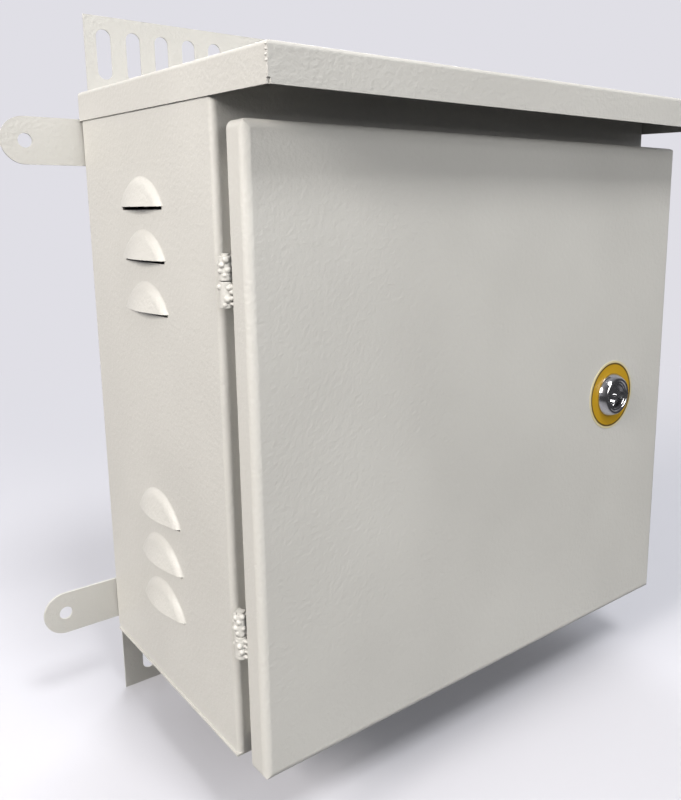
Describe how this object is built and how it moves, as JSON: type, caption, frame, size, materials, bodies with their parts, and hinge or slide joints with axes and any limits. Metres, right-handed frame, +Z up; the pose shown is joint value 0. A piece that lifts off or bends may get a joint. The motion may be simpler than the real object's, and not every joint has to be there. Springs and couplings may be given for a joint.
{
  "type": "roadside utility cabinet",
  "caption": "Folded sheet-steel wall and pole cabinet with a sloped rain hood, louvred sides, a hinged pan door with a cam lock, slotted strap plates and wall ears.",
  "frame": {"origin": "middle of the four ear holes, on the plane of the wall", "axes": "+X to the right seen from the front, +Y back towards the wall, +Z up"},
  "size_m": [0.513, 0.2679, 0.5326],
  "materials": {
    "paint": "fine textured powder coat",
    "zinc": "zinc plated",
    "chrome": "polished",
    "label": "gloss film",
    "rubber": "matt"
  },
  "bodies": {
    "cabinet": {"body_wrap": "paint", "base_panel": "paint", "top_panel": "paint", "rain_hood": "paint", "upper_strap_plate": "paint", "lower_strap_plate": "paint", "ear_upper_left": "paint", "ear_upper_right": "paint", "ear_lower_left": "paint", "ear_lower_right": "paint", "mounting_plate": "zinc", "plate_studs": "zinc", "plate_nuts": "zinc", "plate_washers": "zinc", "body_earth_stud": "zinc", "body_earth_nut": "zinc", "upper_body_knuckle": "paint", "lower_body_knuckle": "paint", "upper_hinge_pin": "zinc", "lower_hinge_pin": "zinc", "left_grommet": "rubber", "right_grommet": "rubber"},
    "door": {"door_panel": "paint", "door_seal": "rubber", "upper_door_knuckle": "paint", "lower_door_knuckle": "paint", "door_earth_stud": "zinc", "door_earth_nut": "zinc", "lock_label": "label", "lock_housing": "chrome", "lock_nut": "zinc"},
    "lock": {"lock_plug": "chrome", "lock_cam": "zinc", "cam_nut": "zinc"}
  },
  "joints": [
    {"name": "door_hinge", "type": "hinge", "parent": "cabinet", "child": "door", "pos_m": [-0.1985, -0.21325, 0], "axis": [0, 0, -1], "range_deg": [0, 120]},
    {"name": "lock_turn", "type": "hinge", "parent": "door", "child": "lock", "pos_m": [0.127, -0.237, -0.017], "axis": [0, 1, 0], "range_deg": [0, 90]}
  ]
}
